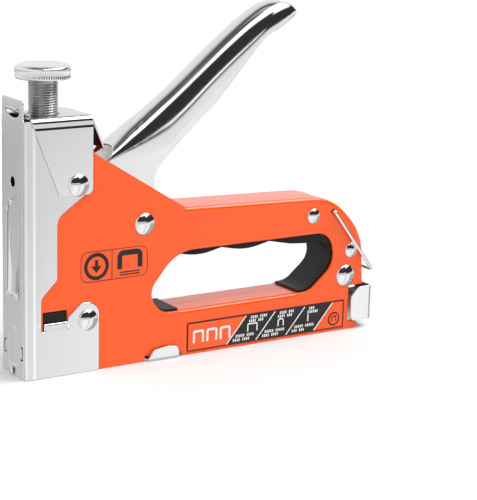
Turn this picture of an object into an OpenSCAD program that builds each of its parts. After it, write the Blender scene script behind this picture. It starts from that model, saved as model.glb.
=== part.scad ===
// Hand-powered staple gun: steel shells, chrome nose, sprung striker and a rear-loading magazine.
// X runs from the nose to the rear, Y across, Z up. The base of the nose's front face is the origin.

/* [Body] */
// Half width over the steel shells
shell_half = 10.0; // [9.5:0.1:10]
// Thickness of the shell sheet
shell_t = 1.2; // [1:0.1:1.3]
// Overall length of the shells
body_len = 165.2; // [164:0.1:166]
// Height of the lower bar, which is the window's sill
sill_z = 19.8; // [19.4:0.1:20]
// Height of the window's upper edge
window_top_z = 45.2; // [44:0.1:46]

/* [Nose] */
// Thickness of the nose channel's side plates
nose_side_t = 0.75; // [0.6:0.05:0.8]
// Thickness of the nose channel's front plate
nose_front_t = 1.0; // [0.8:0.1:1.2]
// Height of the front plate
nose_h = 112; // [110:0.5:114]
// Height of the top bracket's upper face
bracket_z = 105.2; // [105:0.1:106]

/* [Force screw] */
// Distance of the screw's axis behind the front face
screw_x = 13.3; // [13:0.1:13.6]
// Radius of the knob
knob_r = 11; // [9:0.5:11.2]
// Height of the knob's underside
knob_z = 118.9; // [117:0.1:120]
// Outer radius of the screw's thread
thread_r = 6; // [5:0.1:6]

/* [Lever] */
// Distance of the lever's pivot behind the front face
pivot_x = 54; // [53.5:0.1:54.5]
// Height of the lever's pivot
pivot_z = 58.5; // [58:0.1:59]
// Half width over the lever's cheeks
lever_half = 8.4; // [8:0.1:8.5]
// Thickness of the lever's sheet
lever_t = 1.5; // [1.2:0.1:1.6]

/* [Magazine] */
// Half width of the magazine channel
channel_half = 6.6; // [6.5:0.1:6.8]
// Half width of the staple rail
rail_half = 4.3; // [4:0.1:4.3]
// Height of the guide rod above the base
rod_z = 15.4; // [15.2:0.1:15.5]

/* [Hidden] */
$fn = 48;
arc_steps = 6;                       // straight steps along each rounded corner
fit = 0.05;                          // radial clearance of a running fit
nose_half = shell_half + fit + nose_side_t;
bracket_t = 0.85;                    // sheet of the top bracket's flanges
bracket_half = nose_half + fit + bracket_t;
label_depth = 0.4;
label_box = [[74.7, 0.8], [156, 14]];
seat_z = 92;                         // underside of the spring seat
seat_h = 3.1;
plunger_z = 41;                      // underside of the plunger
plunger_h = 10;
claw = [22.3, plunger_z + 5.1];      // centre of the lift arm's finger
arm_r = 23;                          // reach of the lift arm
arm_half = 3;
arm_dip = 20.4;                      // angle of the lift arm below level, at rest
arm_pivot = [claw[0] + arm_r * cos(arm_dip), claw[1] + arm_r * sin(arm_dip)];
wire_eye = [148, 54.5];
wire_bar = [169.3, 26.3];
wire_r = 0.75;
wire_y = 11.25;
bracket_rivet_at = [23, 77.6];
nose_rivet_at = [27.8, 21.8];
rear_rivet_at = [155.8, 24.8];
handle_rivets_at = [[137.6, 53.3], [158.3, 36]];
pivot_r = 3;                         // shank radii of the rivets
rivet_r = 2.2;
rear_rivet_r = 2.4;
handle_rivet_r = 1.8;
arm_pin_r = 2;
rod_r = 1.5;                         // the guide rod
rail_z = 1.6;                        // underside of the staple rail
drawer_end = 168.4;                  // the rail and the rod end here, inside the grip
pad_slot = [[8.2, 19.5], [18.9, 27]]; // side slot that the bumper's pads fill
guide_top = 36.8;                    // top of the striker guide, which carries the bumper
beyond = 20;                         // cuts that go right through run this far past the middle
steel = "gainsboro";
dark_steel = "slategray";
orange = "#ff6a34";

// ---- Outlines in the X-Z plane: each corner is [x, z, radius], listed counterclockwise ----
body_corners = [[1.3, 0, 0], [54.7, 0, 0], [54.7, 2.4, 0.5], [72.5, 2.4, 0.5], [72.5, 0, 0],
    [163, 0, 0.8], [163, 3.5, 0], [157.9, 3.5, 0.8], [157.9, sill_z, 0.8], [body_len, sill_z, 0.8],
    [body_len, 42.5, 26], [147.5, 60.95, 26], [73.3, 63.4, 3], [29.8, 90.2, 2], [1.3, 90.2, 0]];
window_corners = [[62.7, sill_z, 8], [136.7, sill_z, 10], [149.7, 31, 10], [147.2, window_top_z, 8.5],
    [69.3, window_top_z, 18], [55.9, 28.6, 7]];
nose_corners = [[0, 0, 0], [33, 0, 0.8], [33, 29.2, 5.8], [25, 29.2, 2.5], [19.3, 24.4, 0.6],
    [18.9, 22.3, 0], [8.5, 22.3, 0.4], [8.5, 19.4, 0], [7.2, 19.4, 0], [7.2, 33, 4], [14.3, 40, 3],
    [14.3, 64.9, 6], [29.3, 75.2, 0], [29.3, 104, 0], [0, 104, 0]];
flange_corners = [[15, 73.5, 1.5], [29.6, 73.5, 2.5], [29.6, bracket_z, 0], [3.3, bracket_z, 0],
    [3.3, 103.5, 0]];
lever_corners = [[45.6, 50.1, 8], [63, 50.1, 7.5], [58.2, 73.5, 10], [70, 89.2, 14], [92, 109.6, 30],
    [112, 131.7, 2], [131.5, 139.6, 1.5], [127.2, 145.4, 4], [116.5, 146.2, 9], [96, 133.2, 30],
    [65.5, 108.3, 30], [41.5, 91.9, 3], [37.8, 85, 5], [45.6, 66, 10]];
lever_hollow = [[37, 40, 0], [75, 40, 0], [118, 120, 0], [129.3, 138.5, 0], [126.2, 143.9, 3],
    [117, 144.6, 8], [97, 132.2, 30], [66.5, 107.2, 30], [41, 90, 0], [20, 80, 0]];
liner_corners = [[71, sill_z + 0.9, 0], [62.8, sill_z + 0.9, 7], [56.6, 28.8, 5], [69, 44.4, 7],
    [80.5, 41.7, 30], [92, 44.3, 0], [104, 41.7, 30], [116, 44.3, 0], [127, 41.9, 25], [138.5, 41, 0],
    [146, 40.6, 5], [148.4, 31, 8], [136.2, 20.8, 9],
    [131, 20.6, 0], [131, sill_z, 0], [136.5, sill_z, 10], [154, 30.8, 9], [150.5, 50, 8],
    [66, 50, 10], [51, 28.8, 6], [62.5, 16.5, 8], [66, 18.5, 0], [71, 18.5, 0]];

function unit(v) = v / norm(v);
function turn(a, b, c) = sign((b[0] - a[0]) * (c[1] - b[1]) - (b[1] - a[1]) * (c[0] - b[0]));
function flat(p) = [p[0], p[1]];
function before(pts, i) = flat(pts[(i + len(pts) - 1) % len(pts)]);
function after(pts, i) = flat(pts[(i + 1) % len(pts)]);

// An arc of the corner's radius, tangent to both sides of corner b
function corner_arc(a, b, c, r) =
    let (u = unit(a - b), v = unit(c - b), half = acos(max(-1, min(1, u * v))) / 2)
    let (centre = b + unit(u + v) * r / sin(half), p = b + u * r / tan(half) - centre)
    let (sweep = (180 - 2 * half) * turn(a, b, c), start = atan2(p[1], p[0]))
    [for (k = [0:arc_steps]) centre + r * [cos(start + sweep * k / arc_steps),
        sin(start + sweep * k / arc_steps)]];

function rounded(pts) = [for (i = [0:len(pts) - 1])
    let (r = pts[i][2], b = flat(pts[i]))
    each (r == 0 ? [b] : corner_arc(before(pts, i), b, after(pts, i), r))];

// The corners moved inward by d, their radii following
function inset(pts, d) = [for (i = [0:len(pts) - 1])
    let (a = before(pts, i), b = flat(pts[i]), c = after(pts, i))
    let (u = unit(a - b), v = unit(c - b), way = turn(a, b, c))
    let (q = b + way * unit(u + v) * d / sin(acos(u * v) / 2))
    [q[0], q[1], pts[i][2] == 0 ? 0 : max(0, pts[i][2] - way * d)]];

// ---- Shared shapes ----
module slab(corners, y0, y1) {
    translate([0, y1, 0])
        rotate([90, 0, 0])
            linear_extrude(y1 - y0)
                polygon(rounded(corners));
}

module cross_pin(at, r, y0, y1) {
    translate([at[0], y1, at[1]])
        rotate([90, 0, 0])
            cylinder(r = r, h = y1 - y0);
}

// A pin right through the body with a low dome on both ends
module domed_rivet(at, shank_r, head_r, head_h, half) {
    dome_r = (head_r * head_r + head_h * head_h) / (2 * head_h);
    edge = asin(head_r / dome_r);
    dome = [for (k = [0:8]) let (a = edge * (1 - k / 8)) [dome_r * sin(a), dome_r * (cos(a) - cos(edge))]];
    translate([at[0], 0, at[1]])
        for (side = [-1, 1])
            rotate([-90 * side, 0, 0])
                rotate_extrude($fn = 64)
                    polygon(concat([[0, 0], [shank_r, 0], [shank_r, half], [head_r, half]],
                        [for (q = dome) [q[0], half + q[1]]]));
}

// A wire of radius r swept along a list of points
module wire_path(path, r, sides = 6) {
    last = len(path) - 1;
    rings = [for (i = [0:last])
        let (t = unit(path[min(last, i + 1)] - path[max(0, i - 1)]))
        let (a = unit(cross(t, abs(t[2]) > 0.9 ? [1, 0, 0] : [0, 0, 1])), b = cross(t, a))
        for (k = [0:sides - 1]) path[i] + r * (a * cos(k * 360 / sides) + b * sin(k * 360 / sides))];
    walls = [for (i = [0:last - 1], k = [0:sides - 1])
        let (p = i * sides + k, q = i * sides + (k + 1) % sides)
        [p, q, q + sides, p + sides]];
    polyhedron(rings, concat(walls, [[for (k = [0:sides - 1]) sides - 1 - k]],
        [[for (k = [0:sides - 1]) last * sides + k]]), convexity = 8);
}

// A helix about +Z from z0 to z1
function helix(r, z0, z1, turns, steps) = [for (i = [0:turns * steps])
    [r * cos(i * 360 / steps), r * sin(i * 360 / steps), z0 + (z1 - z0) * i / (turns * steps)]];

// ---- Frame ----
// The sheet bends in round the handle and along the window's sill
module shell_rim() {
    handle_x = 75;
    mouth_x = 159.2;
    sill = [71.4, 130.6];
    difference() {
        slab(body_corners, 0, shell_half);
        slab(inset(body_corners, shell_t), -1, shell_half);
        // Open ahead of the handle, along the base, and over the magazine's mouth
        translate([-1, -1, -1])
            cube([handle_x + 1, beyond, 120]);
        translate([handle_x - 1, -1, -1])
            cube([100, beyond, 1 + 3.5]);
        translate([mouth_x - 9, -1, 0])
            cube([9, beyond, sill_z - shell_t]);
    }
    translate([sill[0], 0, sill_z - shell_t])
        cube([sill[1] - sill[0], shell_half, shell_t]);
}

module half_shell(side) {
    label = label_box[1] - label_box[0];
    slot = pad_slot[1] - pad_slot[0];
    color(orange)
        mirror([0, side < 0 ? 1 : 0, 0])
            difference() {
                union() {
                    difference() {
                        slab(body_corners, shell_half - shell_t, shell_half);
                        slab(window_corners, 0, beyond);
                        translate([pad_slot[0][0], 0, pad_slot[0][1]])
                            cube([slot[0], beyond, slot[1]]);
                        translate([label_box[0][0], shell_half - label_depth, label_box[0][1]])
                            cube([label[0], 5, label[1]]);
                    }
                    shell_rim();
                }
                translate([-5, -1, -5])
                    cube([200, 1 + fit, 150]);
                cross_pin([pivot_x, pivot_z], pivot_r, -1, beyond);
                cross_pin(bracket_rivet_at, rivet_r, -1, beyond);
                cross_pin(nose_rivet_at, rivet_r, -1, beyond);
                cross_pin(rear_rivet_at, rear_rivet_r, -1, beyond);
                for (at = handle_rivets_at)
                    cross_pin(at, handle_rivet_r, -1, beyond);
                cross_pin(arm_pivot, arm_pin_r, -1, shell_half - shell_t / 2);
                cross_pin(wire_eye, wire_r + 0.1, -1, beyond);
            }
}

// Plan of the nose channel: a front plate folded back over both shells
module nose_plan() {
    bend = 2.2;
    reach = 40;
    difference() {
        union() {
            translate([bend, -nose_half])
                square([reach, 2 * nose_half]);
            translate([0, bend - nose_half])
                square([reach, 2 * (nose_half - bend)]);
            for (side = [-1, 1])
                translate([bend, side * (nose_half - bend)])
                    circle(r = bend);
        }
        translate([nose_front_t, -shell_half - fit])
            square([reach, 2 * (shell_half + fit)]);
    }
}

// A segment of a circle that hangs down from its chord, cut through the front plate
module moon_slot(chord_z) {
    r = 9.7;
    chord_off = 7.5;
    translate([-1, 0, chord_z])
        rotate([0, 90, 0])
            difference() {
                translate([-chord_off, 0, 0])
                    cylinder(r = r, h = 4);
                translate([-20, -20, -1])
                    cube([20, 40, 6]);
            }
}

module nose_channel() {
    fold_z = 104;
    tongue_half = 9.4;
    groove = [[-5.6, 30], [5.6, 70]];
    groove_depth = 0.4;
    mouth = [[-1.5, 0], [2.1, 3.4]];
    color(steel)
        difference() {
            union() {
                intersection() {
                    linear_extrude(fold_z)
                        nose_plan();
                    slab(nose_corners, -beyond, beyond);
                }
                translate([0, -tongue_half, fold_z - 1])
                    cube([nose_front_t, 2 * tongue_half, nose_h - fold_z + 1]);
            }
            moon_slot(107.2);
            translate([-1, 0, 79])
                rotate([0, 90, 0])
                    cylinder(r = 2.1, h = 4);
            translate([-1, groove[0][0], groove[0][1]])
                cube([1 + groove_depth, groove[1][0] - groove[0][0], groove[1][1] - groove[0][1]]);
            translate([-1, mouth[0][0], -1])
                cube([4, mouth[1][0] - mouth[0][0], mouth[1][1] + 1]);
            cross_pin(bracket_rivet_at, rivet_r, -beyond, beyond);
            cross_pin(nose_rivet_at, rivet_r, -beyond, beyond);
        }
}

module top_bracket() {
    flap = [[29.6, bracket_z, 0], [28.4, bracket_z - 1.1, 0], [34.2, 91.4, 0], [35.5, 91.7, 0]];
    hook = [[1.3, bracket_z - 0.5, 0], [6, bracket_z - 0.5, 0], [6, 106.9, 0], [-0.2, 106.9, 0],
        [-0.2, 108.3, 0], [-1.1, 108.3, 0], [-1.1, 105.8, 0], [1.3, 105.8, 0]];
    hook_half = 3.6;
    flap_half = 10.3;
    screw_hole = 2 * thread_r + 0.6;
    cap_t = 1.1;
    cap_x = [nose_front_t + 0.3, 29.6];
    color(steel)
        difference() {
            union() {
                for (side = [-1, 1])
                    slab(flange_corners, side > 0 ? bracket_half - bracket_t : -bracket_half,
                        side > 0 ? bracket_half : bracket_t - bracket_half);
                translate([cap_x[0], -bracket_half, bracket_z - cap_t])
                    cube([cap_x[1] - cap_x[0], 2 * bracket_half, cap_t]);
                slab(flap, -flap_half, flap_half);
                // Hook: stepped up off the cap, through the front plate's slot and turned up in front of it
                slab(hook, -hook_half, hook_half);
            }
            cross_pin(bracket_rivet_at, rivet_r, -beyond, beyond);
            // Square clearance hole for the force screw
            translate([screw_x - screw_hole / 2, -screw_hole / 2, bracket_z - beyond])
                cube([screw_hole, screw_hole, 2 * beyond]);
        }
}

module bracket_nut() {
    nut_r = 9.6;
    nut_z = 97.9;
    color(dark_steel)
        translate([screw_x, 0, nut_z])
            difference() {
                cylinder(r = nut_r, h = bracket_z - nut_z - 1.2, $fn = 6);
                translate([0, 0, -1])
                    cylinder(r = thread_r + fit, h = 10);
            }
}

// An angle behind the striker: a wall that the blade slides on, and a shelf under the bumper
module striker_guide() {
    sheet = 1;
    x = 4.5;
    wall_half = 7.5;
    shelf_half = 7.9;
    wall_z = 19;
    color(dark_steel) {
        translate([x, -wall_half, wall_z])
            cube([sheet, 2 * wall_half, guide_top - sheet - wall_z + 0.2]);
        translate([x, -shelf_half, guide_top - sheet])
            cube([17.5, 2 * shelf_half, sheet]);
    }
}

module bumper() {
    block = [14, 14, 4];
    base_z = guide_top + fit;
    pad_len = 9.9;
    pad_z = 22.5;
    ear_y = [8, 8.7];
    pad_y = 9.7;
    color("#202020") {
        translate([6.2, -block[1] / 2, base_z])
            cube(block);
        // Ears reach down outside the guide and end in pads that fill the shells' slots
        for (side = [-1, 1])
            mirror([0, side < 0 ? 1 : 0, 0])
                translate([pad_slot[0][0] + 0.4, 0, 0]) {
                    translate([0, block[1] / 2 - 0.1, base_z])
                        cube([pad_len, ear_y[1] - block[1] / 2 + 0.1, block[2]]);
                    translate([0, ear_y[0], pad_z])
                        cube([pad_len, ear_y[1] - ear_y[0], base_z - pad_z + 0.05]);
                    translate([0, ear_y[1] - 0.1, pad_z])
                        cube([pad_len, pad_y - ear_y[1] + 0.1, 4.2]);
                }
    }
}

module lift_arm_pin() {
    color(dark_steel)
        cross_pin(arm_pivot, arm_pin_r, -shell_half + shell_t / 2, shell_half - shell_t / 2);
}

module pivot_rivet() {
    color(steel)
        domed_rivet([pivot_x, pivot_z], pivot_r, 4.65, 1.9, shell_half);
}

module bracket_rivet() {
    color(steel)
        domed_rivet(bracket_rivet_at, rivet_r, 4.5, 1.8, bracket_half);
}

module nose_rivet() {
    color(steel)
        domed_rivet(nose_rivet_at, rivet_r, 4.4, 1.8, nose_half);
}

module frame_rivets() {
    color(steel)
        for (at = handle_rivets_at)
            domed_rivet(at, handle_rivet_r, 3.3, 1.4, shell_half);
}

module magazine_rivet() {
    color(steel)
        domed_rivet(rear_rivet_at, rear_rivet_r, 4.9, 2, shell_half);
}

module grip_liner() {
    half = shell_half - shell_t - 0.1;
    color("#1c1c1c")
        difference() {
            slab(liner_corners, -half, half);
            cross_pin(handle_rivets_at[0], handle_rivet_r + 0.2, -beyond, beyond);
        }
}

module magazine_channel() {
    sheet = 0.8;
    size = [151.4, 2 * channel_half, 13.9];
    color(dark_steel)
        translate([5.4, -channel_half, 0.6])
            difference() {
                cube(size);
                translate([-1, sheet, sheet])
                    cube([size[0] + 2, size[1] - 2 * sheet, size[2]]);
            }
}

module magazine_clip() {
    sheet = 0.8;
    clip_x = [56.2, 69.9];
    ear = [[clip_x[0], 0, 0], [clip_x[1], 0, 0], [clip_x[1], 3.6, 0.6], [68.8, 5.1, 0.6], [65, 5.4, 1],
        [57.6, 4.2, 1.5]];
    half = shell_half + fit + sheet;
    color(steel) {
        for (side = [-1, 1])
            slab(ear, side > 0 ? half - sheet : -half, side > 0 ? half : sheet - half);
        translate([clip_x[0], -half, 0])
            cube([clip_x[1] - clip_x[0], 2 * half, 0.55]);
    }
}

module label_plate(side) {
    gap = 0.4;
    size = label_box[1] - label_box[0] - 2 * [gap, gap];
    color("#333333")
        mirror([0, side < 0 ? 1 : 0, 0])
            translate([label_box[0][0] + gap, shell_half - label_depth, label_box[0][1] + gap])
                cube([size[0], 0.3, size[1]]);
}

// ---- Force screw ----
module force_knob() {
    edge = 1.1;
    top = 5.6;
    color(steel)
        translate([screw_x, 0, knob_z])
            rotate_extrude($fn = 96)
                polygon([[0, 0], [knob_r - edge, 0], [knob_r, edge], [knob_r, top - edge],
                    [knob_r - edge, top - 0.3], [5, top + 0.3], [0, top + 0.4]]);
}

module force_screw() {
    color(dark_steel)
        translate([screw_x, 0, seat_z + seat_h + 2 * fit])
            cylinder(r = thread_r, h = knob_z - seat_z - seat_h - 2 * fit);
}

module spring_seat() {
    color(dark_steel)
        translate([screw_x, 0, seat_z])
            difference() {
                cylinder(r = 7.4, h = seat_h);
                translate([0, 0, -1])
                    cylinder(r = 2, h = 2 * seat_h);
            }
}

// ---- Striker ----
module main_spring() {
    wire = 1;
    end_gap = wire + 0.1;
    color(steel)
        translate([screw_x, 0, 0])
            wire_path(helix(5.8, plunger_z + plunger_h + end_gap, seat_z - end_gap, 8, 14), wire);
}

module plunger() {
    // The claw's slot flares towards the rear, where the arm slopes both ways as it lifts
    slot = [[18.3, 43.7, 0], [21.5, 43.7, 0], [27, 42, 0], [27, 50.2, 0], [21.5, 48.5, 0], [18.3, 48.5, 0]];
    half = 7.2;
    color(dark_steel)
        difference() {
            union() {
                translate([4.1, -half, plunger_z])
                    cube([21.4, 2 * half, plunger_h]);
                // Spigot inside the main spring
                translate([screw_x, 0, plunger_z])
                    cylinder(r = 4.2, h = plunger_h + 4);
            }
            slab(slot, -arm_half - 0.4, arm_half + 0.4);
        }
}

module striker_blade() {
    half = 6.2;
    tip_z = 0.8;
    color(steel)
        translate([2.8, -half, tip_z])
            cube([1.25, 2 * half, plunger_z + plunger_h - 1 - tip_z]);
}

// ---- Lever ----
// The back of the lever, a rounded channel that lies along the line of the grip
module lever_back(shrink) {
    rise = 38.9;
    reach = 10;
    half = lever_half - shrink;
    arch = [for (k = [0:16]) let (a = k * 180 / 16)
        [half * cos(a), (reach - shrink) * pow(sin(a), 0.85)]];
    translate([65.5, 0, 108.3])
        rotate([0, -rise, 0])
            translate([-60, 0, 0])
                rotate([90, 0, 90])
                    linear_extrude(150)
                        translate([0, -reach])
                            polygon(concat(arch, [[-half, -60], [half, -60]]));
}

module handle_lever() {
    color(steel)
        difference() {
            intersection() {
                slab(lever_corners, -beyond, beyond);
                lever_back(0);
            }
            intersection() {
                slab(lever_hollow, -beyond, beyond);
                lever_back(lever_t);
            }
            cross_pin([pivot_x, pivot_z], pivot_r + fit, -beyond, beyond);
        }
}

module lift_arm() {
    bar = 4;
    color(dark_steel)
        difference() {
            union() {
                cross_pin(arm_pivot, 4.2, -arm_half, arm_half);
                cross_pin(claw, 2.25, -arm_half, arm_half);
                translate([claw[0], -arm_half, claw[1]])
                    rotate([0, -arm_dip, 0])
                        translate([0, 0, -bar / 2])
                            cube([arm_r, 2 * arm_half, bar]);
            }
            cross_pin(arm_pivot, arm_pin_r + fit, -beyond, beyond);
        }
}

// A torsion coil round the pivot, with one leg up inside the lever
module lever_return_spring() {
    r = 4.1;
    half = 4.4;
    leg = [for (k = [1:6]) [r + 0.8 * k, 3 * k, half]];
    color(steel)
        translate([pivot_x, 0, pivot_z])
            rotate([90, 0, 0])
                wire_path(concat(helix(r, -half, half, 5, 14), leg), 0.6);
}

// ---- Lock wire ----
// A quarter bend at corner b, from the direction u to the direction v
function bend(b, u, v, r) = [for (k = [0:4])
    b + r * (u + v) - r * (v * cos(k * 22.5) + u * sin(k * 22.5))];

module lock_wire() {
    r = 1.2;
    leg = unit([wire_bar[0] - wire_eye[0], 0, wire_bar[1] - wire_eye[1]]);
    out = [0, 1, 0];
    eye = [wire_eye[0], wire_y, wire_eye[1]];
    bar = [wire_bar[0], wire_y, wire_bar[1]];
    half = concat([[eye[0], 7.6, eye[2]]], bend(eye, -out, leg, r), bend(bar, -leg, -out, r));
    back = [for (i = [len(half) - 1:-1:0]) [half[i][0], -half[i][1], half[i][2]]];
    color(steel)
        wire_path(concat(half, back), wire_r, 10);
}

// ---- Magazine drawer ----
// An upside-down channel that the staples sit astride
module staple_rail() {
    sheet = 0.8;
    size = [drawer_end - 5.6, 2 * rail_half, 9.9];
    color(dark_steel)
        difference() {
            translate([5.6, -rail_half, rail_z])
                cube(size);
            translate([5, -rail_half + sheet, rail_z - 1])
                cube([size[0] + 2, size[1] - 2 * sheet, size[2] + 1 - sheet]);
            // The end is notched over the grip's sloped lower edge
            translate([165.9, -rail_half - 1, rail_z - 1])
                cube([5, size[1] + 2, 6]);
        }
}

module guide_rod() {
    start = 7;
    collar = [150, 2];
    color(steel)
        translate([start, 0, rod_z])
            rotate([0, 90, 0]) {
                cylinder(r = rod_r, h = drawer_end - start);
                translate([0, 0, collar[0] - start])
                    cylinder(r = 2.9, h = collar[1]);
            }
}

module pusher() {
    start = 9;
    size = [8, 11.2, 16];
    slide = 0.15;
    color(dark_steel)
        difference() {
            translate([start, -size[1] / 2, 1.7])
                cube(size);
            translate([start - 1, -rail_half - slide, 1])
                cube([size[0] + 2, 2 * (rail_half + slide), 10.7]);
            translate([start - 1, 0, rod_z])
                rotate([0, 90, 0])
                    cylinder(r = rod_r + fit, h = size[0] + 2);
        }
}

module pusher_spring() {
    spring_x = [17.6, 149.5];
    color(steel)
        translate([0, 0, rod_z])
            rotate([0, 90, 0])
                wire_path(helix(2.25, spring_x[0], spring_x[1], 30, 8), 0.35, 4);
}

module pull_grip() {
    sheet = 0.9;
    cheek = [[158.4, 3.6, 1], [167.2, 3.6, 1.5], [169.3, 6, 1.5], [169.3, 19, 1], [163.2, 19, 2],
        [158.4, 15.2, 2]];
    inner = [[150, 0, 0], [166.2, 0, 0], [drawer_end, 6.4, 0.6], [drawer_end, 30, 0], [150, 30, 0]];
    color(steel)
        difference() {
            slab(cheek, -nose_half, nose_half);
            slab(inner, sheet - nose_half, nose_half - sheet);
        }
}

half_shell(-1);  // left_shell
half_shell(1);  // right_shell
nose_channel();
top_bracket();
bracket_nut();
force_knob();
force_screw();
spring_seat();
main_spring();
plunger();
striker_blade();
bumper();
striker_guide();
handle_lever();
lift_arm();
lift_arm_pin();
lever_return_spring();
pivot_rivet();
bracket_rivet();
nose_rivet();
frame_rivets();
magazine_rivet();
grip_liner();
lock_wire();
magazine_channel();
magazine_clip();
staple_rail();
guide_rod();
pusher();
pusher_spring();
pull_grip();
label_plate(-1);  // left_label
label_plate(1);  // right_label
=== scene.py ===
"""Looks of the staple gun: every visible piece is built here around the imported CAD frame."""

import math

import bmesh
import bpy
from mathutils import Matrix, Vector
from mathutils.geometry import delaunay_2d_cdt


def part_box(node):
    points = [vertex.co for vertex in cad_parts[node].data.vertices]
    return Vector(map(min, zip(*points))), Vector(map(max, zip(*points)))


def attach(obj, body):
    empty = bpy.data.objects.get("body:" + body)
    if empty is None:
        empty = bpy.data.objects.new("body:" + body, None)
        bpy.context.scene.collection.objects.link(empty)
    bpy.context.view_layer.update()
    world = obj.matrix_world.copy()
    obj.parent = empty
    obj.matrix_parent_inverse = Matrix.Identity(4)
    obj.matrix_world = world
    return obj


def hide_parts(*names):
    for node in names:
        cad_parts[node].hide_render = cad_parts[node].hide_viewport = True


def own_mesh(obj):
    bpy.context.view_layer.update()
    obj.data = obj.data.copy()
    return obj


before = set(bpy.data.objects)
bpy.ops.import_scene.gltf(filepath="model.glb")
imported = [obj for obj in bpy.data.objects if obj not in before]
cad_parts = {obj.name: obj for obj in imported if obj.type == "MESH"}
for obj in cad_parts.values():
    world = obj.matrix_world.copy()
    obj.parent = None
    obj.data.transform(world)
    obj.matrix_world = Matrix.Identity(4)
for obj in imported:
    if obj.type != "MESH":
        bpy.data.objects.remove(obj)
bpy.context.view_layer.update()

MM = 0.001
TAU = 2 * math.pi


def mm_box(node):
    """A CAD node's lowest and highest corners, in millimetres."""
    low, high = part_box(node)
    return low / MM, high / MM


# ---- sizes, in millimetres
SHELL_HALF = mm_box("right_shell")[1].y
SHELL_T = 1.2
BODY_LEN = mm_box("right_shell")[1].x
SILL_Z = 19.8
WINDOW_TOP_Z = 45.2
NOSE_HALF = mm_box("nose_channel")[1].y
NOSE_H = mm_box("nose_channel")[1].z
NOSE_T = 0.75
BRACKET_HALF = NOSE_HALF + 0.9
BRACKET_Z = 105.2
FOOT_Z = 0.05
LEVER_HALF = mm_box("handle_lever")[1].y
LABEL_LOW = mm_box("left_label")[0]
LABEL_HIGH = mm_box("left_label")[1]
LABEL_FACE = mm_box("right_label")[1].y
knob_low, knob_high = mm_box("force_knob")
SCREW_X = (knob_low.x + knob_high.x) / 2
KNOB_R = (knob_high.x - knob_low.x) / 2
screw_low, screw_high = mm_box("force_screw")
THREAD_R = (screw_high.x - screw_low.x) / 2
PIVOT = Vector((54, 58.5))
WIRE_R = 0.75
WIRE_EYE = Vector((148, 54.5))
WIRE_BAR = Vector((169.3, 26.3))

# Outlines in the X-Z plane: each corner is (x, z, radius), listed counterclockwise
BODY = [(4.8, FOOT_Z, 0), (54.7, FOOT_Z, 0), (54.7, 2.4, 0.5), (72.5, 2.4, 0.5), (72.5, FOOT_Z, 0),
        (163, FOOT_Z, 0.8), (163, 3.5, 0.3), (157.9, 3.5, 0.8), (157.9, SILL_Z, 0.8), (BODY_LEN, SILL_Z, 0.8),
        (BODY_LEN, 42.5, 26), (147.5, 60.95, 26), (73.3, 63.4, 3), (29.8, 90.2, 2), (4.8, 90.2, 0)]
WINDOW = [(62.7, SILL_Z, 8), (71.2, SILL_Z, 0), (71.4, SILL_Z, 0), (130.6, SILL_Z, 0), (130.8, SILL_Z, 0),
          (136.7, SILL_Z, 10), (149.7, 31, 10), (147.2, WINDOW_TOP_Z, 8.5),
          (69.3, WINDOW_TOP_Z, 18), (55.9, 28.6, 7)]
NOSE_SIDE = [(33, FOOT_Z, 0.8), (33, 29.2, 5.8), (25, 29.2, 2.5), (19.3, 24.4, 0.6), (18.9, 22.3, 0.3),
             (8.5, 22.3, 0.4), (8.5, 19.4, 0.1), (7.2, 19.4, 0.3), (7.2, 33, 4), (14.3, 40, 3),
             (14.3, 64.9, 6), (29.3, 75.2, 0.3), (29.3, 104, 0)]
LINER = [(71, SILL_Z + 0.9, 0.5), (62.8, SILL_Z + 0.9, 7), (56.6, 28.8, 5), (69, 44.4, 7), (80.5, 41.7, 30),
         (92, 44.3, 0.6), (104, 41.7, 30), (116, 44.3, 0.6), (127, 41.9, 25), (138.5, 41, 2), (146, 40.6, 5),
         (148.4, 31, 8), (136.2, 20.8, 9), (131, 20.8, 0.4), (131, SILL_Z, 0), (136.5, SILL_Z, 10),
         (154, 30.8, 9), (150.5, 50, 8), (66, 50, 10), (51, 28.8, 6), (62.5, 16.5, 8), (66, 18.5, 0),
         (71, 18.5, 0)]


# ---- outline helpers
def rounded(corners, step=math.radians(6)):
    """The outline's points, with an arc of each corner's radius."""
    points = []
    count = len(corners)
    for i, (x, z, r) in enumerate(corners):
        b = Vector((x, z))
        if r == 0:
            points.append(b)
            continue
        a = Vector(corners[i - 1][:2])
        c = Vector(corners[(i + 1) % count][:2])
        u = (a - b).normalized()
        v = (c - b).normalized()
        half = math.acos(max(-1, min(1, u.dot(v)))) / 2
        centre = b + (u + v).normalized() * r / math.sin(half)
        first = b + u * r / math.tan(half) - centre
        turn = math.copysign(1, (b - a).cross(c - b))
        sweep = (math.pi - 2 * half) * turn
        steps = max(2, math.ceil(abs(sweep) / step))
        start = math.atan2(first.y, first.x)
        for k in range(steps + 1):
            angle = start + sweep * k / steps
            points.append(centre + r * Vector((math.cos(angle), math.sin(angle))))
    return points


def circle(x, z, r, count=32):
    turns = [TAU * k / count for k in range(count)]
    return [Vector((x + r * math.cos(a), z + r * math.sin(a))) for a in turns]


def rectangle(x0, z0, x1, z1, r):
    return rounded([(x0, z0, r), (x1, z0, r), (x1, z1, r), (x0, z1, r)])


def left_normals(loop):
    """For each point of a closed loop, the mitred normal towards the loop's left side."""
    normals = []
    for i, p in enumerate(loop):
        into = (p - loop[i - 1]).normalized()
        out = (loop[(i + 1) % len(loop)] - p).normalized()
        left = Vector((-into.y, into.x)) + Vector((-out.y, out.x))
        left.normalize()
        normals.append(left / max(0.4, left.dot(Vector((-out.y, out.x)))))
    return normals


def smoothstep(t):
    t = max(0, min(1, t))
    return t * t * (3 - 2 * t)


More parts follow.
